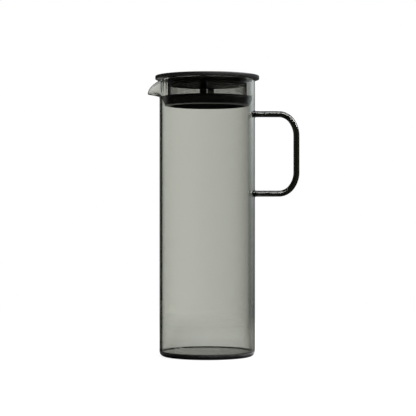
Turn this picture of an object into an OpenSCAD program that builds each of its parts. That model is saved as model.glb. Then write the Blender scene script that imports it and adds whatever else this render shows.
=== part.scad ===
// Tall glass pitcher with a pulled spout, a bent glass rod handle and a
// strainer lid: a round plate, a cage with four sieve windows and a soft seal.
// The origin is on the jug's axis where it stands. The spout points to -X and
// the handle to +X.

/* [Glass jug] */
// Outside diameter of the tube
body_d = 90; // [84:0.5:96]
// Thickness of the tube wall
wall = 2.2; // [1.8:0.1:2.8]
// Height of the glass at its rim
rim_z = 260.2; // [230:0.1:290]
// Thickness of the floor
floor_t = 4.3; // [3.5:0.1:6]
// Outside radius of the bottom corner
heel_r = 4.7; // [3.5:0.1:6]
// Inside radius of the bottom corner
floor_fillet_r = 2.5; // [1.5:0.1:5]

/* [Spout] */
// Half of the arc that the spout takes out of the rim, in degrees
spout_half_deg = 24; // [18:1:32]
// How far down from the rim the wall starts to lean out
spout_depth = 17.5; // [15:0.5:24]
// Radius of the bend, at the middle of the wall
spout_bend_r = 3; // [2:0.25:6]
// How far the wall leans out on the spout's centre line, in degrees
spout_bend_deg = 80; // [60:1:85]
// Length of glass from the start of the bend to the lip
spout_lip_l = 13; // [11:0.5:15]
// Thickness of the drawn glass in the spout
spout_wall = 2.1; // [1.6:0.1:2.1]
// Share by which the lip is drawn in towards the spout's centre line
spout_pinch_share = 0.35; // [0:0.05:0.5]

/* [Handle] */
// Diameter of the glass rod
rod_d = 5.7; // [5:0.1:7]
// From the rim down to the middle of the upper arm
handle_drop = 32.3; // [30:0.1:45]
// Height between the middles of the two arms
handle_span = 75; // [66:0.5:90]
// From the tube's wall out to the middle of the grip
handle_reach = 39.2; // [34:0.1:48]
// Radius of the bend next to each arm
arm_bend_r = 15; // [11:0.5:16]
// Radius of the bend next to the grip
grip_bend_r = 24; // [18:0.5:26]
// Radius of the fillet where the rod is melted on to the tube
weld_r = 1.1; // [0.6:0.1:1.5]

/* [Lid plate] */
// How far the plate reaches out past the tube
plate_overhang = 4.05; // [3:0.05:8]
// Thickness of the plate
plate_t = 3.4; // [2.4:0.1:4]
// Radius of the plate's edges
plate_edge_r = 0.7; // [0.4:0.1:1.1]
// Depth of the collar that plugs into the cage
collar_h = 6.2; // [4.5:0.1:8]
// Thickness of that collar
collar_t = 1.5; // [1.2:0.1:2]

/* [Strainer cage] */
// Space between the cage and the inside of the tube
cage_space = 5.3; // [5:0.1:8]
// Thickness of its wall
cage_wall = 1.5; // [1.3:0.1:2]
// Height of the band between the plate and the windows
band_h = 4.1; // [3:0.1:6]
// Height of the windows
window_h = 12.2; // [9:0.1:14]
// Width of a post between two windows
post_w = 6.2; // [5:0.1:9]
// How far the posts stand turned from the jug's axes, in degrees
cage_turn_deg = -5.5; // [-45:0.5:45]
// How far the bottom ring stands in from the inside of the cage
ring_step = 0.6; // [0.4:0.1:3]
// Height of the ring's lower lip
lip_h = 1.3; // [1:0.1:2]
// How much the lip's underside rises towards its edge
lip_rise = 0.7; // [0.3:0.1:0.9]

/* [Sieve] */
// Thickness of the sieve
sieve_t = 0.5; // [0.4:0.05:0.6]
// Width of the bars between its holes
sieve_bar = 0.6; // [0.4:0.05:0.8]
// Columns of holes in one window
sieve_columns = 18; // [12:1:24]
// Rows of holes
sieve_rows = 4; // [3:1:6]
// How far its edge is let into the cage
sieve_edge = 0.8; // [0.5:0.1:1]

/* [Seal] */
// Height of the seal
seal_h = 7.8; // [7:0.1:10]
// Height of the upright edge that wipes the glass
seal_edge_h = 1.5; // [1:0.1:2.5]
// How much smaller the seal is at the bottom, on the radius
seal_taper = 2.4; // [1.5:0.1:2.4]
// How far the bottom of the seal's groove stands out from the cage
groove_step = 0.4; // [0.1:0.1:1]
// Depth of that groove
groove_depth = 1.2; // [1:0.1:1.5]
// Thickness of the flange over the groove
flange_t = 1; // [0.8:0.1:1.5]

/* [Hidden] */
// How far the sides of the spout are let into the tube's wall
let_in = 0.8;
// Gap between the plate and the rim
rest_gap = 0.3;
// Gap between the seal and the glass
seal_gap = 0.3;
// Gap between the seal and its groove
groove_gap = 0.1;
// Gap between the collar and the cage
collar_gap = 0.15;
// Gap between the sieve's edge and its slot
slot_gap = 0.05;
// How far cuts run past what they cut
overrun = 2;
$fn = 96;

// The windows, and the sieves in them, go round in fours
window_count = 4;
// Steps of the spout's surface: across it, up it and round its lip
spout_columns = 24;
spout_steps = 9;
lip_steps = 4;

// Levels of the jug
body_r = body_d / 2;
bore_r = body_r - wall;
half_wall = wall / 2;
mid_r = body_r - half_wall;
rim_mid_z = rim_z - half_wall;
bend_z = rim_z - spout_depth;
flap_l = rim_mid_z - bend_z;
let_in_deg = let_in / mid_r * 180 / PI;

// Levels of the lid
plate_z = rim_z + rest_gap;
window_top = plate_z - band_h;
seal_top = window_top - window_h;
seal_bottom = seal_top - seal_h;
lip_bottom = seal_bottom - lip_h;

// Radii of the lid
plate_r = body_r + plate_overhang;
cage_r = bore_r - cage_space;
cage_in_r = cage_r - cage_wall;
collar_r = cage_in_r - collar_gap;
ring_in_r = cage_in_r - ring_step;
seal_r = bore_r - seal_gap;
seal_low_r = seal_r - seal_taper;
groove_r = cage_r + groove_step;
flange_r = groove_r + groove_depth;
sieve_r = cage_r - cage_wall / 2;

// Angles of a window, and of the sieve that reaches into the posts
post_deg = 2 * asin(post_w / 2 / sieve_r);
window_deg = 360 / window_count - post_deg;
edge_deg = sieve_edge / sieve_r * 180 / PI;
slot_gap_deg = slot_gap / sieve_r * 180 / PI;

// Handle
rod_r = rod_d / 2;
arm_z = rim_z - handle_drop;
// Each corner is two arcs. The one next to the arm turns by the larger angle
// of a right triangle whose sides are as 3 to 4, the other by the smaller one
arm_turn = atan2(4, 3);
grip_turn = atan2(3, 4);
corner_w = arm_bend_r * sin(arm_turn) + grip_bend_r * (1 - sin(arm_turn));
corner_h = arm_bend_r * (1 - cos(arm_turn)) + grip_bend_r * cos(arm_turn);
arm_l = handle_reach - corner_w;
grip_l = handle_span - 2 * corner_h;

// A ring of square section, or an arc of one that starts at the angle start
module ring(r_in, r_out, z_low, z_high, start = 0, sweep = 360) {
    rotate_extrude(angle = sweep, start = start)
        translate([r_in, z_low])
            square([r_out - r_in, z_high - z_low]);
}

// Everything that repeats with the windows, turned to the window given
module at_window(index) {
    rotate([0, 0, cage_turn_deg + index * 360 / window_count + post_deg / 2])
        children();
}

// Outline of a turned vessel that fills the given radius down to the level
// low, with its bottom corner rounded
module cup_outline(r, corner_r, low) {
    translate([0, low])
        square([r - corner_r, rim_mid_z - low]);
    translate([0, low + corner_r])
        square([r, rim_mid_z - low - corner_r]);
    translate([r - corner_r, low + corner_r])
        circle(r = corner_r);
}

// Half section of the tube: flat base, rounded heel, melted rim
module jug_section() {
    difference() {
        intersection() {
            cup_outline(body_r, heel_r, 0);
            square([body_r, rim_mid_z]);
        }
        intersection() {
            cup_outline(bore_r, floor_fillet_r, floor_t);
            square([bore_r, rim_mid_z]);
        }
    }
    translate([mid_r, rim_mid_z])
        circle(r = half_wall);
}

// How much of the full bend the wall has at an angle from the spout's middle
function lean_share(a) = pow(cos(90 * min(abs(a) / spout_half_deg, 1)), 2);
// Length of glass above the bend, shorter where it leans out further
function flap_length(lean) = spout_lip_l + (flap_l - spout_lip_l) * pow(1 - lean, 4);
// Direction of the wall at a length along it, in degrees from upright
function heading(s, bend) = min(s / spout_bend_r * 180 / PI, bend);
// Middle of the wall there: an arc that starts upright, then a straight run
function wall_middle(s, bend) = let (
    h = heading(s, bend),
    run = max(0, s - spout_bend_r * bend * PI / 180)
) [mid_r + spout_bend_r * (1 - cos(h)) + run * sin(h),
   bend_z + spout_bend_r * sin(h) + run * cos(h)];

// A point of the wall as radius, height and how far along the flap it lies.
// turn is 0 on the outside, 180 on the inside and goes round the lip between
function wall_point(s, l, bend, turn) = let (
    h = heading(s, bend),
    m = wall_middle(s, bend),
    across = spout_wall / 2 * cos(turn),
    ahead = spout_wall / 2 * sin(turn)
) [m[0] + across * cos(h) + ahead * sin(h),
   m[1] - across * sin(h) + ahead * cos(h),
   s / l];

// One closed section of the leaning wall: up the outside, round the lip and
// down the inside
function spout_section(a) = let (
    lean = lean_share(a),
    bend = spout_bend_deg * lean,
    l = flap_length(lean)
) [for (i = [0 : spout_steps]) wall_point(l * i / spout_steps, l, bend, 0),
   for (j = [1 : lip_steps - 1]) wall_point(l, l, bend, 180 * j / lip_steps),
   for (i = [spout_steps : -1 : 0]) wall_point(l * i / spout_steps, l, bend, 180)];

// The same section in space, drawn in towards the middle of the spout
function spout_loop(a) = [
    for (p = spout_section(a))
        let (turned = 180 + a * (1 - spout_pinch_share * lean_share(a) * p[2]))
            [p[0] * cos(turned), p[0] * sin(turned), p[1]]
];

// The pulled spout: sections side by side, each joined to the next. The ends
// are closed by strips from the outside across to the inside
module spout() {
    loops = [for (i = [0 : spout_columns])
        spout_loop((spout_half_deg + let_in_deg) * (2 * i / spout_columns - 1))];
    n = len(loops[0]);
    skin = [for (i = [0 : spout_columns - 1], j = [0 : n - 1])
        let (k = (j + 1) % n, a = i * n, b = (i + 1) * n)
            each [[a + j, a + k, b + j], [a + k, b + k, b + j]]];
    first_end = [for (j = [0 : (n - 3) / 2])
        each concat([[j, n - 1 - j, j + 1]],
            j < (n - 3) / 2 ? [[j + 1, n - 1 - j, n - 2 - j]] : [])];
    last_end = [for (f = first_end)
        [for (corner = [2, 1, 0]) spout_columns * n + f[corner]]];
    polyhedron(points = [for (loop = loops) each loop],
        faces = concat(skin, first_end, last_end));
}

module glass_body() {
    color([0.3, 0.31, 0.3, 0.5]) {
        difference() {
            rotate_extrude()
                jug_section();
            ring(bore_r - overrun, body_r + overrun, bend_z, rim_z + overrun,
                180 - spout_half_deg, 2 * spout_half_deg);
        }
        spout();
    }
}

// A straight length of the rod up +Z. What follows it starts at its end
module rod_run(l) {
    cylinder(h = l, r = rod_r);
    translate([0, 0, l])
        children();
}

// Part of a corner: the rod leaves along +Z and turns by the angle given
// towards +X. What follows it starts at its end, along the rod
module rod_bend(r, turn) {
    reach = r + rod_d;
    difference() {
        translate([r, 0, 0])
            rotate([90, 0, 0])
                rotate([0, 0, 90])
                    rotate_extrude(angle = 90)
                        translate([r, 0])
                            circle(r = rod_r);
        translate([r, 0, 0])
            rotate([0, turn, 0])
                translate([-reach, -rod_d, 0])
                    cube([2 * reach, 2 * rod_d, reach]);
    }
    translate([r, 0, 0])
        rotate([0, turn, 0])
            translate([-r, 0, 0])
                children();
}

// The foot where the rod is melted on: the rod's end with a hollow fillet,
// shaped to the tube, whose axis lies along X below it
module weld_foot() {
    difference() {
        rotate_extrude()
            difference() {
                translate([0, -half_wall])
                    square([rod_r + weld_r, half_wall + weld_r]);
                translate([rod_r + weld_r, weld_r])
                    circle(r = weld_r);
            }
        translate([-rod_d, 0, -body_r])
            rotate([0, 90, 0])
                cylinder(h = 2 * rod_d, r = body_r);
    }
}

// One rod, bent four times: out, down the grip and back to the tube
module handle() {
    color([0.12, 0.12, 0.11, 0.8])
        translate([body_r, 0, arm_z])
            rotate([0, 90, 0]) {
                weld_foot();
                rod_run(arm_l)
                    rod_bend(arm_bend_r, arm_turn)
                        rod_bend(grip_bend_r, grip_turn)
                            rod_run(grip_l)
                                rod_bend(grip_bend_r, grip_turn)
                                    rod_bend(arm_bend_r, arm_turn)
                                        rod_run(arm_l)
                                            mirror([0, 0, 1])
                                                weld_foot();
            }
}

// The plate's half section, with its two edges rounded
module plate_section() {
    square([plate_r - plate_edge_r, plate_t]);
    translate([0, plate_edge_r])
        square([plate_r, plate_t - 2 * plate_edge_r]);
    for (z = [plate_edge_r, plate_t - plate_edge_r])
        translate([plate_r - plate_edge_r, z])
            circle(r = plate_edge_r);
}

module lid_plate() {
    color([0.06, 0.06, 0.06])
        rotate_extrude() {
            translate([0, plate_z])
                plate_section();
            translate([collar_r - collar_t, plate_z - collar_h])
                square([collar_t, collar_h]);
        }
}

// The cage's half section: band and posts above, seal groove below
module cage_section() {
    translate([cage_in_r, seal_top])
        square([cage_wall, plate_z - seal_top]);
    translate([ring_in_r, seal_bottom])
        square([groove_r - ring_in_r, seal_h]);
    translate([ring_in_r, seal_top - flange_t])
        square([flange_r - ring_in_r, flange_t]);
    polygon([[ring_in_r, lip_bottom], [seal_low_r, lip_bottom + lip_rise],
        [seal_low_r, seal_bottom], [ring_in_r, seal_bottom]]);
}

module strainer_cage() {
    color([0.05, 0.05, 0.05])
        difference() {
            rotate_extrude()
                cage_section();
            for (i = [0 : window_count - 1])
                at_window(i) {
                    ring(cage_in_r - overrun, cage_r + overrun, seal_top, window_top,
                        0, window_deg);
                    ring(sieve_r - sieve_t / 2 - slot_gap, sieve_r + sieve_t / 2 + slot_gap,
                        seal_top - sieve_edge - slot_gap, window_top + sieve_edge + slot_gap,
                        -edge_deg - slot_gap_deg, window_deg + 2 * (edge_deg + slot_gap_deg));
                }
        }
}

// One curved sieve: a sheet with an edge all round and rows of square holes
module sieve(index) {
    column_deg = window_deg / sieve_columns;
    row_h = window_h / sieve_rows;
    hole_w = sieve_r * column_deg * PI / 180 - sieve_bar;
    hole_h = row_h - sieve_bar;
    color([0.5, 0.5, 0.5])
        at_window(index)
            difference() {
                ring(sieve_r - sieve_t / 2, sieve_r + sieve_t / 2,
                    seal_top - sieve_edge, window_top + sieve_edge,
                    -edge_deg, window_deg + 2 * edge_deg);
                for (i = [0 : sieve_columns - 1], j = [0 : sieve_rows - 1])
                    rotate([0, 0, (i + 0.5) * column_deg])
                        translate([sieve_r, 0, seal_top + (j + 0.5) * row_h])
                            cube([sieve_t + overrun, hole_w, hole_h], center = true);
            }
}

module seal_ring() {
    color([0.03, 0.03, 0.03])
        rotate_extrude()
            polygon([
                [groove_r + groove_gap, seal_bottom + groove_gap],
                [seal_low_r, seal_bottom + groove_gap],
                [seal_r, seal_top - seal_edge_h],
                [seal_r, seal_top],
                [flange_r + groove_gap, seal_top],
                [flange_r + groove_gap, seal_top - flange_t - groove_gap],
                [groove_r + groove_gap, seal_top - flange_t - groove_gap]
            ]);
}

glass_body();
handle();
lid_plate();
strainer_cage();
sieve(3);  // sieve_front_right
sieve(0);  // sieve_back_right
sieve(1);  // sieve_back_left
sieve(2);  // sieve_front_left
seal_ring();
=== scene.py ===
# A tall pitcher of smoked glass with a pulled spout, a bent glass rod for a
# handle, and a lid that strains what is poured. Lengths are in metres. The
# origin is where the jug stands; the spout points to -X, the handle to +X.
import bpy
import numpy as np
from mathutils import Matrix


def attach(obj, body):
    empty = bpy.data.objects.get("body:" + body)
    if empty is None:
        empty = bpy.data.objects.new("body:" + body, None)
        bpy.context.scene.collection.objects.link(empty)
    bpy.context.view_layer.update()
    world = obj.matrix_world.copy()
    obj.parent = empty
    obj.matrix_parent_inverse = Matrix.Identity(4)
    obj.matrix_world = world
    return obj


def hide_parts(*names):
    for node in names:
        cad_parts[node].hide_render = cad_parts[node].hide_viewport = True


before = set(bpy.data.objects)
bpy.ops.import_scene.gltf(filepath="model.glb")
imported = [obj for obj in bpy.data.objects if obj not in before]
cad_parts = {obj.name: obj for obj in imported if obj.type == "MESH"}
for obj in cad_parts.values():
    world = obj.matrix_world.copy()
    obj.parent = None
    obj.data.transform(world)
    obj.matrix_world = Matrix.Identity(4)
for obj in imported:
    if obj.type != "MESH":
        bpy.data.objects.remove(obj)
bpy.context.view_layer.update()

# The jug is a length of drawn glass tube, smoked grey all through. Its foot is
# closed and pressed flat in a flame, its rim is melted round, and the spout is
# pulled out of the rim while the glass is soft.
tube_r = 0.045
tube_wall = 0.0022
rim_top = 0.2602
floor_level = 0.0043
heel_r = 0.0047
floor_fillet_r = 0.0011
spout_half = np.radians(24)
spout_depth = 0.0175
spout_bend_r = 0.003
spout_bend = np.radians(80)
spout_lip_l = 0.013
spout_wall = 0.0021
spout_pinch = 0.35
spout_sides_power = 4
bore_r = tube_r - tube_wall
wall_middle_r = tube_r - tube_wall / 2
bend_level = rim_top - spout_depth
flap_l = rim_top - tube_wall / 2 - bend_level
glass_ior = 1.47
tint_headroom = 1.08
jug_absorbs = (167, 162, 186)
jug_ripple = 0.000003
streak_scale = (90, 90, 4)
streak_detail = 2

# How the jug's surface is divided: points round it and along each stretch of
# its section, and how far the flat stretches stay off the curved ones.
jug_turn_points = 480
flat_points = 8
heel_points = 16
wall_points = 24
fillet_points = 12
flap_points = 26
rim_points = 14
first_ring_r = 0.006
heel_run = 0.004
fillet_run = 0.003
bend_run = 0.001


def skin(points, poles=False):
    """Closed surfaces through grids of points, as their points, the points
    that their faces go round, one face after the other, and how many points
    each face has. The last three axes of the grids are a row round the surface,
    a column along it, and x, y, z. The rows always join up with the first one.
    The columns do too, or with poles the first and the last of them shrink to
    one point each."""
    points = np.asarray(points, float)
    around, along = points.shape[-3:-1]
    index = np.arange(points.size // 3).reshape(-1, around, along)
    if poles:
        index[:, :, 0] = index[:, :1, 0]
        index[:, :, -1] = index[:, :1, -1]
        here, ahead = index[:, :, :-1], index[:, :, 1:]
    else:
        here, ahead = index, np.roll(index, -1, axis=2)
    corners = [here, np.roll(here, -1, axis=1), np.roll(ahead, -1, axis=1), ahead]
    faces = np.stack(corners, axis=-1).reshape(-1, 4)
    kept = np.ones(faces.shape, bool)
    kept[:, 1] = faces[:, 0] != faces[:, 1]
    kept[:, 3] = faces[:, 2] != faces[:, 3]
    used, loops = np.unique(faces[kept], return_inverse=True)
    return points.reshape(-1, 3)[used], loops.ravel(), kept.sum(axis=1)


def new_piece(name, *skins):
    """An object of one or more closed surfaces, put one after the other."""
    starts = np.cumsum([0] + [len(surface[0]) for surface in skins[:-1]])
    points = np.concatenate([surface[0] for surface in skins])
    loops = np.concatenate([surface[1] + start for surface, start in zip(skins, starts)])
    sizes = np.concatenate([surface[2] for surface in skins])
    mesh = bpy.data.meshes.new(name)
    mesh.vertices.add(len(points))
    mesh.vertices.foreach_set("co", points.ravel())
    mesh.loops.add(len(loops))
    mesh.loops.foreach_set("vertex_index", loops.astype(np.int32))
    mesh.polygons.add(len(sizes))
    mesh.polygons.foreach_set("loop_start", np.cumsum(sizes) - sizes)
    mesh.polygons.foreach_set("loop_total", sizes)
    mesh.polygons.foreach_set("use_smooth", np.ones(len(sizes), bool))
    mesh.update(calc_edges=True)
    mesh.validate()
    piece = bpy.data.objects.new(name, mesh)
    bpy.context.scene.collection.objects.link(piece)
    return piece


def finish_piece(piece, material, body, node):
    """Gives a piece its material and the body that it moves with, and hides
    the CAD part that it stands in for."""
    piece.data.materials.append(material)
    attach(piece, body)
    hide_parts(node)


def arc(centre, r, start, end, count):
    """Points on a circle in the section plane: centre + r (cos a, sin a), with
    the angle a going evenly from start to end, in degrees."""
    a = np.radians(np.linspace(start, end, count))
    return np.stack([centre[0] + r * np.cos(a), centre[1] + r * np.sin(a)], axis=1)


def turned(section, count):
    """A section (radius, height) carried once round the Z axis: at the angle a
    each point is (radius cos a, radius sin a, height)."""
    turn = np.linspace(0, 2 * np.pi, count, endpoint=False)[:, None]
    r, z = section[:, 0], section[:, 1]
    return np.stack([r * np.cos(turn), r * np.sin(turn), z + 0 * turn], axis=-1)


def flap_grid():
    """The spout and the rim, up the outside from the bend, over the rim and
    down the inside. At the angle a from the spout's middle the wall leans out
    by spout_bend times lean, where lean is cos(90 a / spout_half) squared, or 0
    beside the spout. The middle line of the wall follows an arc and then goes
    straight, half a wall lies to each side of it, and its length falls from
    flap_l at the sides to spout_lip_l by the power spout_sides_power of
    1 - lean. The angle shrinks by spout_pinch times lean towards the lip."""
    turn = np.linspace(0, 2 * np.pi, jug_turn_points, endpoint=False)[:, None]
    off = turn - np.pi
    lean = np.where(np.abs(off) < spout_half, np.cos(np.pi / 2 * off / spout_half) ** 2, 0)
    length = spout_lip_l + (flap_l - spout_lip_l) * (1 - lean) ** spout_sides_power
    up = np.linspace(0, 1, flap_points)[None, :]
    over = np.linspace(0, np.pi, rim_points)[None, 1:-1]
    share = np.concatenate([up, np.ones_like(over), up[:, ::-1]], axis=1)
    over = np.concatenate([np.zeros_like(up), over, np.full_like(up, np.pi)], axis=1)
    s = length * share
    heading = np.minimum(s / spout_bend_r, spout_bend * lean)
    run = np.maximum(s - spout_bend_r * spout_bend * lean, 0)
    r = wall_middle_r + spout_bend_r * (1 - np.cos(heading)) + run * np.sin(heading)
    z = bend_level + spout_bend_r * np.sin(heading) + run * np.cos(heading)
    half = (tube_wall + (spout_wall - tube_wall) * lean * share) / 2
    r = r + half * (np.cos(over) * np.cos(heading) + np.sin(over) * np.sin(heading))
    z = z + half * (np.sin(over) * np.cos(heading) - np.cos(over) * np.sin(heading))
    a = np.pi + off * (1 - spout_pinch * lean * share)
    return np.stack([r * np.cos(a), r * np.sin(a), z], axis=-1)


def jug_points():
    """Section points of the jug at angles round it, from the middle of the foot
    up the outside, over the rim and down the inside to the middle of the floor.
    Below the bend every section is the same."""
    wall_end = bend_level - bend_run
    foot = np.concatenate([
        [[0, 0]],
        np.linspace([first_ring_r, 0], [tube_r - heel_r - heel_run, 0], flat_points),
        arc([tube_r - heel_r, heel_r], heel_r, -90, 0, heel_points),
        np.linspace([tube_r, heel_r + heel_run], [tube_r, wall_end], wall_points)])
    fillet_level = floor_level + floor_fillet_r
    floor_r = bore_r - floor_fillet_r
    floor = np.concatenate([
        np.linspace([bore_r, wall_end], [bore_r, fillet_level + fillet_run], wall_points),
        arc([floor_r, fillet_level], floor_fillet_r, 0, -90, fillet_points),
        np.linspace([floor_r - fillet_run, floor_level], [first_ring_r, floor_level], flat_points),
        [[0, floor_level]]])
    stretches = [turned(foot, jug_turn_points), flap_grid(), turned(floor, jug_turn_points)]
    return np.concatenate(stretches, axis=1)


def new_material(name):
    """An empty node material: its node tree, surface shader and output."""
    material = bpy.data.materials.new(name)
    material.use_nodes = True
    tree = material.node_tree
    return material, tree, tree.nodes["Principled BSDF"], tree.nodes["Material Output"]


def wired(tree, node, sockets):
    """Sets a node's inputs, each to a value or to the output of another node,
    and hands back its first output."""
    for socket, value in sockets.items():
        if isinstance(value, bpy.types.NodeSocket):
            tree.links.new(value, node.inputs[socket])
        else:
            node.inputs[socket].default_value = value
    return node.outputs[0]


def object_place(tree):
    """Where a point lies on its piece."""
    return tree.nodes.new("ShaderNodeTexCoord").outputs["Object"]


def noise(tree, place, scale, detail):
    """Soft noise from 0 to 1, with about scale swells to a metre."""
    return wired(tree, tree.nodes.new("ShaderNodeTexNoise"),
                 {"Vector": place, "Scale": scale, "Detail": detail})


def bumped(tree, height, strength, distance):
    """The normal of a surface that rises by distance where height is 1."""
    return wired(tree, tree.nodes.new("ShaderNodeBump"),
                 {"Height": height, "Strength": strength, "Distance": distance})


def smoked_glass(name, absorbed, ripple):
    """Clear glass with a tint in its depth. absorbed is what a metre of it
    takes away of red, green and blue, as the exponent of e: the density times
    one minus the colour, with the density tint_headroom times the largest. The
    drawn surface has faint streaks along Z, which rise by ripple."""
    material, tree, surface, output = new_material(name)
    density = max(absorbed) * tint_headroom
    tint = (*[1 - share / density for share in absorbed], 1)
    depth = wired(tree, tree.nodes.new("ShaderNodeVolumeAbsorption"), {"Density": density, "Color": tint})
    drawn = wired(tree, tree.nodes.new("ShaderNodeMapping"),
                  {"Vector": object_place(tree), "Scale": streak_scale})
    streaks = noise(tree, drawn, 1, streak_detail)
    wired(tree, surface, {"Base Color": (1, 1, 1, 1), "Transmission Weight": 1, "IOR": glass_ior,
                          "Roughness": 0, "Normal": bumped(tree, streaks, 1, ripple)})
    tree.links.new(depth, output.inputs["Volume"])
    return material


finish_piece(new_piece("glass_jug", skin(jug_points(), poles=True)),
             smoked_glass("smoked_glass", jug_absorbs, jug_ripple), "jug", "glass_body")

# The handle is one solid rod of darker glass, bent four times while it is hot.
# Both its ends are melted on to the tube, with a small hollow fillet.
rod_r = 0.00285
handle_drop = 0.0323
handle_span = 0.075
handle_reach = 0.0392
arm_bend_r = 0.015
grip_bend_r = 0.024
arm_turn = np.arctan2(4, 3)
weld_r = 0.0013
let_in = 0.0003
rod_absorbs = (860, 850, 930)
rod_ripple = 0.000001
rod_turn_points = 40
weld_run = 0.002
half_stretch_points = [12, 10, 24, 20]
grip_points = 24
arm_level = rim_top - handle_drop


def rod_path():
    """The rod's middle line and its heading from +X downwards, from the upper
    foot to the lower one: each stretch is straight or an arc, and its points
    are summed up from the lengths and headings of the short steps between. The
    places along it are rounded, so that stretches share their end points."""
    corner_w = arm_bend_r * np.sin(arm_turn) + grip_bend_r * (1 - np.sin(arm_turn))
    corner_h = arm_bend_r * (1 - np.cos(arm_turn)) + grip_bend_r * np.cos(arm_turn)
    arm = handle_reach - corner_w + let_in
    grip = handle_span - 2 * corner_h
    right = np.pi / 2
    half = [weld_run, arm - weld_run, arm_bend_r * arm_turn, grip_bend_r * (right - arm_turn)]
    stations = np.cumsum([0, *half, grip, *half[::-1]])
    turns = [0, 0, 0, arm_turn, right, right, 2 * right - arm_turn, 2 * right, 2 * right, 2 * right]
    counts = [*half_stretch_points, grip_points, *half_stretch_points[::-1]]
    s = np.unique(np.concatenate([
        np.linspace(start, end, count)
        for start, end, count in zip(stations[:-1], stations[1:], counts)]).round(9))
    heading = np.interp(s, stations, turns)
    middle = (heading[1:] + heading[:-1]) / 2
    step = np.diff(s) * np.sinc(np.diff(heading) / 2 / np.pi)
    x = tube_r - let_in + np.append(0, np.cumsum(step * np.cos(middle)))
    z = arm_level - np.append(0, np.cumsum(step * np.sin(middle)))
    return s, x, z, heading


def rod_points():
    """Rings round the middle line. Their radius grows within weld_r of the wall
    by weld_r minus the height of a quarter circle, which makes the hollow
    fillet, and the first and last ring shrink to a point."""
    s, x, z, heading = rod_path()
    depth = np.clip((weld_r - np.minimum(s, s[-1] - s) + let_in) / weld_r, 0, 1)
    r = rod_r + weld_r * (1 - np.sqrt(1 - depth ** 2))
    r, x, z, heading = [np.concatenate([v[:1], v, v[-1:]]) for v in (r, x, z, heading)]
    r[[0, -1]] = 0
    a = np.linspace(0, -2 * np.pi, rod_turn_points, endpoint=False)[:, None]
    return np.stack([x + r * np.cos(a) * np.sin(heading), r * np.sin(a) + 0 * x,
                     z + r * np.cos(a) * np.cos(heading)], axis=-1)


finish_piece(new_piece("glass_handle", skin(rod_points(), poles=True)),
             smoked_glass("smoked_rod", rod_absorbs, rod_ripple), "jug", "handle")

# The strainer cage is moulded in one piece of black plastic: a band under the
# plate, four posts, and a ring with a groove for the seal. It hangs in the rim.
rest_gap = 0.0003
cage_space = 0.0053
cage_wall = 0.0015
band_h = 0.0041
window_count = 4
window_h = 0.0122
post_w = 0.0062
post_let_in = 0.0004
cage_turn = np.radians(-5.5)
ring_h = 0.0078
ring_step = 0.0006
groove_step = 0.0004
groove_depth = 0.0012
flange_t = 0.001
lip_h = 0.0013
lip_rise = 0.0007
seal_gap = 0.0003
seal_taper = 0.0024
mould_edge_r = 0.00025
corner_share = 0.45
edge_points = 5
ring_turn_points = 240
plastic_ior = 1.5
plastic_colour = (0.012, 0.012, 0.0115)
plastic_roughness = 0.34
plastic_grain = 0.00002
grain_scale = 2600
grain_detail = 1
grain_strength = 0.5
tone_scale = 55
tone_detail = 4
tone_shares = (0.8, 1.25)
roughness_shares = (0.85, 1.15)

plate_level = rim_top + rest_gap
window_top = plate_level - band_h
window_sill = window_top - window_h
ring_low = window_sill - ring_h
lip_level = ring_low - lip_h
cage_r = bore_r - cage_space
cage_in_r = cage_r - cage_wall
cage_middle_r = cage_r - cage_wall / 2
ring_in_r = cage_in_r - ring_step
groove_r = cage_r + groove_step
flange_r = groove_r + groove_depth
lip_r = bore_r - seal_gap - seal_taper


def rounded(corners, r):
    """A closed section outline with each corner rounded: from r before the
    corner to r after it along a curve that the corner pulls, point
    (1-t)^2 A + 2t(1-t) C + t^2 B. A corner takes at most corner_share of a
    side, so r gives way on a short one."""
    c = np.asarray(corners, float)
    before, after = np.roll(c, 1, axis=0) - c, np.roll(c, -1, axis=0) - c
    sides = [np.linalg.norm(v, axis=1)[:, None] for v in (before, after)]
    reach = np.minimum(r, corner_share * np.minimum(*sides))
    a = c + before / sides[0] * reach
    b = c + after / sides[1] * reach
    t = np.linspace(0, 1, edge_points)[None, :, None]
    return ((1 - t) ** 2 * a[:, None] + 2 * t * (1 - t) * c[:, None] + t ** 2 * b[:, None]).reshape(-1, 2)


def post_points():
    """The posts, spread evenly round the cage: a rounded section between its
    radii, bent round the Z axis so that the way along it becomes an angle, and
    carried from post_let_in below the windows to as much above them."""
    section = rounded([(cage_r, -post_w / 2), (cage_r, post_w / 2), (cage_in_r, post_w / 2),
                       (cage_in_r, -post_w / 2)], mould_edge_r)
    z = np.repeat([window_sill - post_let_in, window_top + post_let_in], 2)
    swell = np.array([0, 1, 1, 0])
    r, across = section[:, :1], section[:, 1:]
    turn = cage_turn + 2 * np.pi / window_count * np.arange(window_count)[:, None, None]
    a = turn + across / r * swell
    r = r * swell + cage_middle_r * (1 - swell)
    return np.stack([r * np.cos(a), r * np.sin(a), z + 0 * a], axis=-1)


def tinted(tree, share, low, high):
    """A colour that goes from low to high as share goes from 0 to 1."""
    tone = tree.nodes.new("ShaderNodeMix")
    tone.data_type = "RGBA"
    wired(tree, tone, {"Factor": share, "A": (*low, 1), "B": (*high, 1)})
    return tone.outputs["Result"]


def spread(tree, share, low, high):
    """A number that goes from low to high as share goes from 0 to 1."""
    return wired(tree, tree.nodes.new("ShaderNodeMapRange"), {"Value": share, "To Min": low, "To Max": high})


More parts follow.
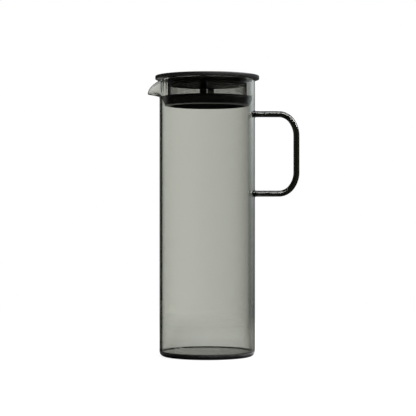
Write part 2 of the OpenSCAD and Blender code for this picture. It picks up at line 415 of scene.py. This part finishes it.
def moulded_plastic(name, colour, roughness, grain):
    """Black plastic from a mould. Its tone and its gloss vary a little over
    centimetres, between tone_shares and roughness_shares of their values, and
    a fine even grain from the mould's surface breaks up the gloss."""
    material, tree, surface, output = new_material(name)
    place = object_place(tree)
    cloud = noise(tree, place, tone_scale, tone_detail)
    fine = noise(tree, place, grain_scale, grain_detail)
    dark, light = [[share * c for c in colour] for share in tone_shares]
    smooth, rough = [share * roughness for share in roughness_shares]
    wired(tree, surface, {"Base Color": tinted(tree, cloud, dark, light), "IOR": plastic_ior,
                          "Roughness": spread(tree, cloud, smooth, rough),
                          "Normal": bumped(tree, fine, grain_strength, grain)})
    return material


black_plastic = moulded_plastic("black_plastic", plastic_colour, plastic_roughness, plastic_grain)
band = rounded([(cage_r, window_top), (cage_r, plate_level), (cage_in_r, plate_level),
                (cage_in_r, window_top)], mould_edge_r)
foot_ring = rounded([
    (ring_in_r, lip_level), (lip_r, lip_level + lip_rise), (lip_r, ring_low),
    (groove_r, ring_low), (groove_r, window_sill - flange_t), (flange_r, window_sill - flange_t),
    (flange_r, window_sill), (ring_in_r, window_sill)], mould_edge_r)
cage = new_piece("cage", skin(turned(band, ring_turn_points)), skin(turned(foot_ring, ring_turn_points)),
                 skin(post_points(), poles=True))
finish_piece(cage, black_plastic, "strainer", "strainer_cage")

# A sieve of plain woven steel wire closes each window. Its cut edges are
# moulded into the posts, the band and the ring.
wire_r = 0.00011
wire_pitch = 0.0012
sieve_edge = 0.0008
wire_sides = 7
wave_points = 6
steel_scale = 900
steel_detail = 3
steel_dark = (0.3, 0.29, 0.28)
steel_light = (0.5, 0.49, 0.47)
steel_roughness = (0.14, 0.26)

post_angle = 2 * np.arcsin(post_w / 2 / cage_middle_r)
window_pitch = 2 * np.pi / window_count
window_angle = window_pitch - post_angle


def wire_course(gaps, wires, edge):
    """How a layer of wires runs past gaps of the other layer: places along
    them in gaps, from edge before the first to edge after the last, a share of
    the wire's radius at each place, 0 at the two ends and 1 between, and how
    far each wire swings out there as a share of its radius, which is
    cos(pi (place - 1/2)) with the sign turned from one wire to the next."""
    t = np.linspace(-edge, gaps + edge, wave_points * gaps + 1)
    t = np.concatenate([t[:1], t, t[-1:]])
    size = np.ones(len(t))
    size[[0, -1]] = 0
    return t, size, np.cos(np.pi * (t - 0.5))[None, :] * (-1.0) ** np.arange(wires)[:, None]


def woven_wires(first_angle):
    """The upright and the level wires of one sieve as grids of rings. They
    cross at every pitch, and the two layers swing opposite ways, so that they
    pass over and under each other in turn."""
    across = int(round(window_angle * cage_middle_r / wire_pitch))
    high = int(round(window_h / wire_pitch))
    step_a, step_z = window_angle / across, window_h / high
    side = np.linspace(0, 2 * np.pi, wire_sides, endpoint=False)[None, :, None]

    t, size, wave = wire_course(high, across, sieve_edge / step_z)
    wires = np.arange(across)[:, None, None] + 0.5
    r = cage_middle_r + wire_r * (wave[:, None, :] + size * np.cos(side))
    a = first_angle + step_a * wires - size * wire_r / cage_middle_r * np.sin(side) + 0 * r
    upright = np.stack([r * np.cos(a), r * np.sin(a), window_sill + step_z * t + 0 * r], axis=-1)

    t, size, wave = wire_course(across, high, sieve_edge / cage_middle_r / step_a)
    wires = np.arange(high)[:, None, None] + 0.5
    r = cage_middle_r + wire_r * (-wave[:, None, :] + size * np.cos(side))
    a = first_angle + step_a * t + 0 * r
    z = window_sill + step_z * wires + size * wire_r * np.sin(side) + 0 * r
    return upright, np.stack([r * np.cos(a), r * np.sin(a), z], axis=-1)


def drawn_steel():
    """Drawn steel wire, dulled a little by washing: its tone and its gloss
    vary over millimetres."""
    material, tree, surface, output = new_material("sieve_steel")
    cloud = noise(tree, object_place(tree), steel_scale, steel_detail)
    wired(tree, surface, {"Metallic": 1, "Base Color": tinted(tree, cloud, steel_dark, steel_light),
                          "Roughness": spread(tree, cloud, *steel_roughness)})
    return material


sieve_steel = drawn_steel()
for name, window in [("sieve_front_right", 3), ("sieve_back_right", 0),
                     ("sieve_back_left", 1), ("sieve_front_left", 2)]:
    upright, level = woven_wires(cage_turn + window * window_pitch + post_angle / 2)
    cloth = new_piece(name + "_cloth", skin(upright, poles=True), skin(level, poles=True))
    finish_piece(cloth, sieve_steel, "strainer", name)

# The seal is a loop of black silicone rubber that sits in the ring's groove
# and wipes the inside of the glass. It tapers so that it goes in easily.
groove_gap = 0.0001
seal_edge_h = 0.0024
seal_edge_r = 0.0004
silicone_colour = (0.011, 0.011, 0.011)
silicone_roughness = 0.65
silicone_grain = 0.00001

seal_r = bore_r - seal_gap
seal_in_r = groove_r + groove_gap
flange_out_r = flange_r + groove_gap
seal_low = ring_low + groove_gap
flange_under = window_sill - flange_t - groove_gap
seal_section = rounded([
    (seal_r - seal_taper, seal_low), (seal_r, window_sill - seal_edge_h), (seal_r, window_sill),
    (flange_out_r, window_sill), (flange_out_r, flange_under), (seal_in_r, flange_under),
    (seal_in_r, seal_low)], seal_edge_r)
black_silicone = moulded_plastic("black_silicone", silicone_colour, silicone_roughness, silicone_grain)
seal = new_piece("seal", skin(turned(seal_section, ring_turn_points)))
finish_piece(seal, black_silicone, "seal", "seal_ring")

# The lid plate is a round disc of black plastic, a little wider than the jug,
# with a collar below that plugs into the cage.
plate_overhang = 0.00405
plate_t = 0.0034
plate_edge_r = 0.0007
plate_edge_run = 0.0005
plate_first_ring_r = 0.004
collar_gap = 0.00015
collar_h = 0.0062
collar_t = 0.0015
collar_draft = 0.0006
collar_edge_r = 0.0003
collar_root_h = 0.0001
collar_root_w = 0.0002
collar_under_points = 6
collar_edge_points = 5
plate_flat_points = 8
plate_edge_points = 9

plate_top = plate_level + plate_t
plate_r = tube_r + plate_overhang
plate_edge_middle_r = plate_r - plate_edge_r
plate_flat_r = plate_edge_middle_r - plate_edge_run
collar_r = cage_in_r - collar_gap
collar_in_r = collar_r - collar_t
collar_edge_level = plate_level - collar_h + collar_edge_r
plate_section = np.concatenate([
    [[0, plate_level]],
    np.linspace([plate_first_ring_r, plate_level], [collar_in_r - collar_draft, plate_level],
                collar_under_points),
    arc([collar_in_r + collar_edge_r, collar_edge_level], collar_edge_r, 180, 270,
        collar_edge_points),
    arc([collar_r - collar_edge_r, collar_edge_level], collar_edge_r, -90, 0, collar_edge_points),
    [[collar_r, plate_level - collar_root_h]],
    np.linspace([collar_r + collar_root_w, plate_level], [plate_flat_r, plate_level], plate_flat_points),
    arc([plate_edge_middle_r, plate_level + plate_edge_r], plate_edge_r, -90, 0,
        plate_edge_points),
    arc([plate_edge_middle_r, plate_top - plate_edge_r], plate_edge_r, 0, 90, plate_edge_points),
    np.linspace([plate_flat_r, plate_top], [plate_first_ring_r, plate_top], plate_flat_points),
    [[0, plate_top]]])
plate = new_piece("plate", skin(turned(plate_section, ring_turn_points), poles=True))
finish_piece(plate, black_plastic, "cap", "lid_plate")

# The jug stands on a matt white table top. Through the glass it carries a painted shade round the foot,
# reflections in the glass see a painted bright patch there, stronger on the right, and it fades out into the
# wall. Straight to the camera it is white.
table_r = 0.9
table_drop = 0.0002
table_points = 96
table_glow = 0.84
far_glow = 0.18
table_albedo = 0.24
jug_eye_h = 0.1
far_stops = [(0, 0), (0.25, 0), (0.6, 1), (1, 1)]
fade_stops = [(0, 0), (0.25, 0), (0.32, 0.1), (0.6, 1), (1, 1)]
# Painted contact shade on the table round the foot, by distance from the jug's axis; the camera never sees
# it.
painted_contact_shade_stops = [(0, 0.35), (0.036, 0.35), (0.043, 0.05), (0.046, 0.02), (0.06, 0.02), (0.07, 0.3),
                 (0.1, 0.72), (0.2, 0.765), (0.35, 0.76), (0.45, 0.8), (0.6, 0.88), (1, 1)]
# A painted bright patch on the table near the foot, seen only in a surface's own gloss, by distance from the
# axis and stronger to the right by x.
painted_foot_patch_stops = [(0, 0), (0.0436, 0.05), (0.0455, 0.2), (0.048, 0.35), (0.055, 0.9), (0.065, 0.9),
                   (0.085, 0.1), (1, 0.1)]
painted_foot_patch_side_stops = [(-1, 0.2), (-0.03, 0.2), (0.01, 1), (0.03, 1), (0.038, 1.5), (0.05, 1.5), (0.06, 1),
                   (1, 1)]

# The wall's brightness by azimuth, in degrees to the right of straight away
# from the camera, and by elevation. A reflection sees a black card on the left.
middle_stops = [(-12, 1.25), (-8, 1.26), (-4, 1.2), (-1.7, 1.1), (0, 1), (3, 0.93), (4.1, 0.88),
                (6.3, 0.72), (9, 0.42), (14, 0.5)]
straight_stops = [(-180, 1), (-40, 1), (-20, 1.15), *middle_stops, (21, 0.8), (28, 1), (180, 1)]
reflected_stops = [(-180, 1), (-48, 1), (-40, 0.02), (-20, 0.02), (-17, 1.15), *middle_stops, (25, 1.1),
                   (70, 1), (180, 1)]
right_straight_stops = [(-180, 0), (8, 0), (15, 1), (21, 1), (28, 0), (180, 0)]
right_reflected_stops = [(-180, 0), (8, 0), (15, 1), (70, 1), (90, 0), (180, 0)]
height_stops = [(-90, 1), (-11, 1), (-6.5, 0.3), (-4.3, 0.5), (0, 1), (3.6, 2), (5.2, 2.6), (90, 2.6)]
reflected_share = 0.65
gloss_share = 0.1


def number(tree, operation, *values):
    """One step of arithmetic, with numbers or outputs of other nodes."""
    node = tree.nodes.new("ShaderNodeMath")
    node.operation = operation
    return wired(tree, node, dict(enumerate(values)))


def product(tree, first, *others):
    """Numbers or outputs of other nodes, multiplied."""
    for other in others:
        first = number(tree, "MULTIPLY", first, other)
    return first


def mixed(tree, share, off, on):
    """off + share (on - off), for two numbers or number sockets."""
    return number(tree, "ADD", off, product(tree, share, number(tree, "SUBTRACT", on, off)))


def degrees(tree, operation, *values):
    """The angle of an inverse sine or tangent, in degrees."""
    return number(tree, "DEGREES", number(tree, operation, *values))


def graded(tree, value, stops):
    """A value read off a line drawn through stops, each (where, how much)."""
    low, high = stops[0][0], stops[-1][0]
    place = wired(tree, tree.nodes.new("ShaderNodeMapRange"),
                  {"Value": value, "From Min": low, "From Max": high})
    ramp = tree.nodes.new("ShaderNodeValToRGB")
    line = ramp.color_ramp.elements
    for where, amount in stops[1:-1]:
        line.new((where - low) / (high - low))
    for element, (where, amount) in zip(line, stops):
        element.position = (where - low) / (high - low)
        element.color = (amount, amount, amount, 1)
    return wired(tree, ramp, {"Fac": place})


def axes(tree, place):
    """The x, y and z of a place or a direction."""
    split = tree.nodes.new("ShaderNodeSeparateXYZ")
    tree.links.new(place, split.inputs["Vector"])
    return split.outputs["X"], split.outputs["Y"], split.outputs["Z"]


def either(tree, share, off, on):
    """One of two shaders, by a share."""
    return wired(tree, tree.nodes.new("ShaderNodeMixShader"), {0: share, 1: off, 2: on})


def mirrored(tree, seen):
    """1 for a ray that a surface's gloss has just sent, 0 for any other, also
    for one that has just gone through glass."""
    glossy, through = seen.outputs["Is Glossy Ray"], seen.outputs["Is Transmission Ray"]
    return number(tree, "MAXIMUM", number(tree, "SUBTRACT", glossy, through), 0)


def reflected(tree, seen):
    """1 for a ray that was reflected anywhere on its way, also inside glass."""
    return number(tree, "GREATER_THAN", seen.outputs["Glossy Depth"], 0.5)


def wall_light(tree, x, y, elevation, seen):
    """Brightness of the wall or the table in a direction from the jug: its
    stops by azimuth, times a growth with height on the right. A reflection sees
    the card and the whole width of the fall to the right, where straight
    through the glass the wall is even further round."""
    bounced = reflected(tree, seen)
    azimuth = degrees(tree, "ARCTAN2", x, y)
    level = mixed(tree, bounced, graded(tree, azimuth, straight_stops),
                  graded(tree, azimuth, reflected_stops))
    right = mixed(tree, bounced, graded(tree, azimuth, right_straight_stops),
                  graded(tree, azimuth, right_reflected_stops))
    growth = number(tree, "SUBTRACT", graded(tree, elevation, height_stops), 1)
    return product(tree, level, number(tree, "ADD", product(tree, right, growth), 1))


def wall_share(tree, seen):
    """How much of the wall a ray sees: all of it straight through the glass,
    reflected_share after a reflection inside or behind it, and gloss_share in a
    surface's own gloss."""
    inside = mixed(tree, reflected(tree, seen), 1, reflected_share)
    return mixed(tree, mirrored(tree, seen), inside, gloss_share)


def table_white():
    """A matt white that glows a little, more so far out. Glow and colour are
    both multiplied by what a ray sees: a painted copy of the wall's brightness
    beyond that place times a painted contact shade round the foot, or a painted
    bright patch near the foot in a surface's gloss. The wall is taken as seen
    from jug_eye_h up in the jug, past the jug's side. The table turns clear
    towards its rim, by fade_stops."""
    material, tree, surface, output = new_material("table_white")
    seen = tree.nodes.new("ShaderNodeLightPath")
    x, y = axes(tree, object_place(tree))[:2]
    far = number(tree, "SQRT", number(tree, "ADD", number(tree, "POWER", x, 2), number(tree, "POWER", y, 2)))
    edge = graded(tree, far, far_stops)
    past_jug = number(tree, "MAXIMUM", number(tree, "SUBTRACT", number(tree, "ABSOLUTE", x), tube_r), 0)
    aside = product(tree, past_jug, number(tree, "SIGN", x))
    # The table is painted with the wall's brightness beyond each place, its dark card and its rise to the
    # right included.
    light = wall_light(tree, aside, y, degrees(tree, "ARCTAN2", -jug_eye_h, far), seen)
    # The painted contact shade darkens the table round the foot.
    light = product(tree, light, graded(tree, far, painted_contact_shade_stops), wall_share(tree, seen))
    # The painted bright patch near the foot, for reflections only.
    painted_foot_patch = product(tree, graded(tree, far, painted_foot_patch_stops), graded(tree, x, painted_foot_patch_side_stops))
    sight = number(tree, "MAXIMUM", mixed(tree, mirrored(tree, seen), light, painted_foot_patch),
                   seen.outputs["Is Camera Ray"])
    strength = number(tree, "ADD", table_glow, product(tree, edge, far_glow))
    unlit = number(tree, "SUBTRACT", 1, seen.outputs["Is Diffuse Ray"])
    glow = wired(tree, tree.nodes.new("ShaderNodeEmission"),
                 {"Strength": product(tree, strength, sight, unlit)})
    albedo = product(tree, table_albedo, number(tree, "SUBTRACT", 1, edge))
    white = wired(tree, surface, {"Base Color": product(tree, albedo, sight), "Roughness": 1,
                                  "Specular IOR Level": 0})
    both = wired(tree, tree.nodes.new("ShaderNodeAddShader"), {0: white, 1: glow})
    clear = tree.nodes.new("ShaderNodeBsdfTransparent").outputs["BSDF"]
    tree.links.new(either(tree, graded(tree, far, fade_stops), both, clear), output.inputs["Surface"])
    return material


table_edge = turned(np.array([[table_r, -table_drop]]), table_points)[:, 0]
table_mesh = bpy.data.meshes.new("table_top")
table_mesh.from_pydata(table_edge, [], [range(table_points)])
table_mesh.materials.append(table_white())
table_top = bpy.data.objects.new("table_top", table_mesh)
bpy.context.scene.collection.objects.link(table_top)

# The wall is white up to 10 degrees above level and dark from 14 degrees on, and
# only light that goes straight through the glass sees it round the sides. Two
# windows draw the highlights. To the camera the whole wall is plain white.
wall_top_stops = [(-90, 1), (10, 1), (14, 0.01), (90, 0.01)]
behind_stops = [(-1, 0.01), (0.3, 0.01), (0.6, 1), (1, 1)]
right_window_across = [(-180, 0), (58, 0), (66, 8), (112, 8), (120, 0), (180, 0)]
right_window_up = [(-90, 0), (16, 0), (20, 1), (50, 1), (56, 0), (90, 0)]
front_window_across = [(-180, 8), (-168, 8), (-160, 0), (95, 0), (110, 8), (180, 8)]
front_window_up = [(-90, 0), (22, 0), (26, 1), (60, 1), (64, 0), (90, 0)]
cool_across = [(-180, 0), (9, 0), (16, 1), (70, 1), (90, 0), (180, 0)]
cool_up = [(-90, 0), (-11, 0), (-6.5, 1), (90, 1)]
cool_white = (0.93, 0.99, 1.12)
fill_light = 0.5


def background(tree, strength, colour=(1, 1, 1, 1)):
    """A background of that strength, white unless it is given a colour."""
    return wired(tree, tree.nodes.new("ShaderNodeBackground"), {"Color": colour, "Strength": strength})


def studio_wall():
    """The world as a wall: wall_light up to its top, behind the jug or for a
    ray that has only gone through glass, plus the two windows, tinted cool on
    the right. Matt surfaces get fill_light from all round."""
    world = bpy.data.worlds.new("studio")
    world.use_nodes = True
    tree = world.node_tree
    tree.nodes.clear()
    seen = tree.nodes.new("ShaderNodeLightPath")
    x, y, z = axes(tree, tree.nodes.new("ShaderNodeTexCoord").outputs["Generated"])
    azimuth = degrees(tree, "ARCTAN2", x, y)
    elevation = degrees(tree, "ARCSINE", z)
    straight = number(tree, "SUBTRACT", 1, reflected(tree, seen))
    side = number(tree, "MAXIMUM", graded(tree, y, behind_stops),
                  product(tree, seen.outputs["Is Transmission Ray"], straight))
    wall = product(tree, wall_light(tree, x, y, elevation, seen),
                   graded(tree, elevation, wall_top_stops), side, wall_share(tree, seen))
    right_window = product(tree, graded(tree, azimuth, right_window_across),
                           graded(tree, elevation, right_window_up))
    front_window = product(tree, graded(tree, azimuth, front_window_across),
                           graded(tree, elevation, front_window_up), mirrored(tree, seen))
    light = number(tree, "ADD", wall, number(tree, "ADD", right_window, front_window))
    cool_share = product(tree, graded(tree, azimuth, cool_across), graded(tree, elevation, cool_up))
    colour = tinted(tree, cool_share, (1, 1, 1), cool_white)
    lit = either(tree, seen.outputs["Is Diffuse Ray"], background(tree, light, colour),
                 background(tree, fill_light))
    whole = either(tree, seen.outputs["Is Camera Ray"], lit, background(tree, 1))
    tree.links.new(whole, tree.nodes.new("ShaderNodeOutputWorld").inputs["Surface"])
    return world


bpy.context.scene.world = studio_wall()

# A large soft lamp hangs over the jug, a little towards the camera. Its power
# is pi times its area times how bright its face is.
softbox_w = 1.0
softbox_d = 0.8
softbox_face = 4.0
softbox_place = (0, -0.15, 1.35)

softbox = bpy.data.lights.new("softbox", "AREA")
softbox.shape = "RECTANGLE"
softbox.size = softbox_w
softbox.size_y = softbox_d
softbox.energy = softbox_face * np.pi * softbox_w * softbox_d
lamp = bpy.data.objects.new("softbox", softbox)
lamp.location = softbox_place
bpy.context.scene.collection.objects.link(lamp)

# The camera stands at half the jug's height and looks almost level at it from
# far off, through a long lens.
camera_place = (0.00075, -1.368, 0.1356)
camera_rise = np.radians(0.158)
picture_w_mm = 36
lens_mm = 125.48
clear_to = 100

lens = bpy.data.cameras.new("camera")
lens.sensor_width = picture_w_mm
lens.lens = lens_mm
lens.clip_end = clear_to
camera = bpy.data.objects.new("camera", lens)
camera.location = camera_place
camera.rotation_euler = (np.pi / 2 + camera_rise, 0, 0)
bpy.context.scene.collection.objects.link(camera)
bpy.context.scene.camera = camera
bpy.context.scene.view_settings.view_transform = "Standard"
